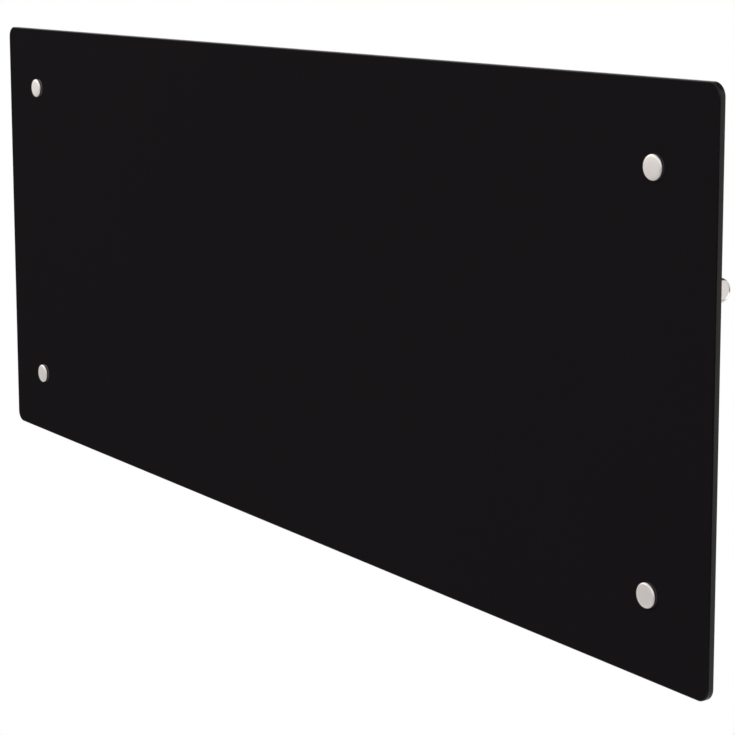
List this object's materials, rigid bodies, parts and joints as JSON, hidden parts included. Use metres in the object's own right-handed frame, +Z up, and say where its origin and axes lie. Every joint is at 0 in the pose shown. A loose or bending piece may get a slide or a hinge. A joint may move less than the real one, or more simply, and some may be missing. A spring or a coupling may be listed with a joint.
{
  "type": "panel heater",
  "caption": "Wall-hung electric panel heater: black glass front on round metal caps, slim steel convector casing, edge-mounted thermostat knob and a hook-on wall bracket.",
  "frame": {"origin": "centre of the four wall screw holes, on the wall plane", "axes": "+X along the wall to the heater's right as seen from the room, +Y into the wall, +Z up; the glass faces -Y"},
  "size_m": [0.925, 0.0839, 0.37],
  "materials": {
    "black_glass": "polished tempered glass with black enamel on its back",
    "satin_metal": "satin turned",
    "clear_gasket": "translucent, smooth",
    "nylon_natural": "moulded nylon",
    "silicone_black": "matt",
    "plated_steel": "zinc plated",
    "black_steel": "fine textured powder coat",
    "galvanised": "galvanised",
    "black_screws": "blackened steel",
    "aluminium_fins": "extruded",
    "stainless_sheath": "drawn tube, heat tinted",
    "ceramic": "unglazed steatite",
    "bright_aluminium": "bright rolled",
    "phenolic": "moulded",
    "housing_plastic": "fine spark-eroded texture",
    "board_green": "solder resist",
    "relay_blue": "moulded",
    "capacitor_yellow": "dipped",
    "satin_knob": "satin turned",
    "pointer_dark": "filled line",
    "lamp_glass": "small neon lamp",
    "lens_red": "moulded",
    "switch_black": "moulded",
    "rocker_black": "moulded, with plain 1 and 0 marks",
    "gland_nylon": "moulded nylon",
    "brass_screws": "plain",
    "sensor_bead": "epoxy bead",
    "lead_blue": "silicone insulation",
    "lead_brown": "silicone insulation",
    "lead_red": "silicone insulation",
    "lead_green": "silicone insulation, green and yellow",
    "liner_nylon": "moulded nylon",
    "catch_plastic": "moulded nylon"
  },
  "bodies": {
    "bracket": {"bracket_upright_left": "galvanised", "bracket_upright_right": "galvanised", "bracket_rail": "galvanised", "bracket_rivets": "bright_aluminium", "hook_liners": "liner_nylon", "catch_guides": "galvanised", "rest_pads": "silicone_black"},
    "heater": {"glass_front": "black_glass", "cap_lower_left": "satin_metal", "cap_upper_left": "satin_metal", "cap_lower_right": "satin_metal", "cap_upper_right": "satin_metal", "cap_gaskets": "clear_gasket", "glass_bushes": "nylon_natural", "glass_washers": "silicone_black", "standoff_spacers": "plated_steel", "cap_studs": "plated_steel", "stud_nuts": "plated_steel", "front_plate": "black_steel", "rear_shell": "galvanised", "end_cap_left": "black_steel", "end_cap_right": "black_steel", "top_grille": "black_steel", "casing_screws": "black_screws", "element_fins": "aluminium_fins", "element_sheath": "stainless_sheath", "element_bracket_left": "plated_steel", "element_bracket_right": "plated_steel", "element_insulators": "ceramic", "heat_shield": "bright_aluminium", "thermal_cutout": "phenolic", "thermostat_base": "housing_plastic", "thermostat_housing": "housing_plastic", "circuit_board": "board_green", "relay": "relay_blue", "capacitor": "capacitor_yellow", "potentiometer": "plated_steel", "pilot_lamp": "lamp_glass", "pilot_lens": "lens_red", "switch_body": "switch_black", "cable_gland": "gland_nylon", "gland_nut": "gland_nylon", "terminal_block": "nylon_natural", "terminal_screws": "brass_screws", "lead_grommet": "silicone_black", "sensor_holder": "housing_plastic", "room_sensor": "sensor_bead", "neutral_lead": "lead_blue", "live_lead": "lead_brown", "switched_lead": "lead_red", "earth_lead": "lead_green", "earth_screw": "brass_screws", "pivot_lugs": "plated_steel", "pivot_pins": "plated_steel"},
    "knob": {"thermostat_knob": "satin_knob", "knob_pointer": "pointer_dark", "pot_shaft": "nylon_natural"},
    "rocker": {"rocker": "rocker_black"},
    "catch_left": {"catch_left": "catch_plastic"},
    "catch_right": {"catch_right": "catch_plastic"}
  },
  "joints": [
    {"name": "heater_tilt", "type": "hinge", "parent": "bracket", "child": "heater", "pos_m": [0, -0.014, -0.118], "axis": [1, 0, 0], "range_deg": [0, 15]},
    {"name": "catch_left_slide", "type": "slide", "parent": "bracket", "child": "catch_left", "axis": [0, 0, 1], "range_m": [0, 0.0055]},
    {"name": "catch_right_slide", "type": "slide", "parent": "bracket", "child": "catch_right", "axis": [0, 0, 1], "range_m": [0, 0.0055]},
    {"name": "knob_turn", "type": "hinge", "parent": "heater", "child": "knob", "pos_m": [0.42, -0.0415, 0.0555], "axis": [-1, 0, 0], "range_deg": [0, 270]},
    {"name": "rocker_tip", "type": "hinge", "parent": "heater", "child": "rocker", "pos_m": [0.4095, -0.0415, -0.012], "axis": [0, -1, 0], "range_deg": [0, 16]}
  ]
}
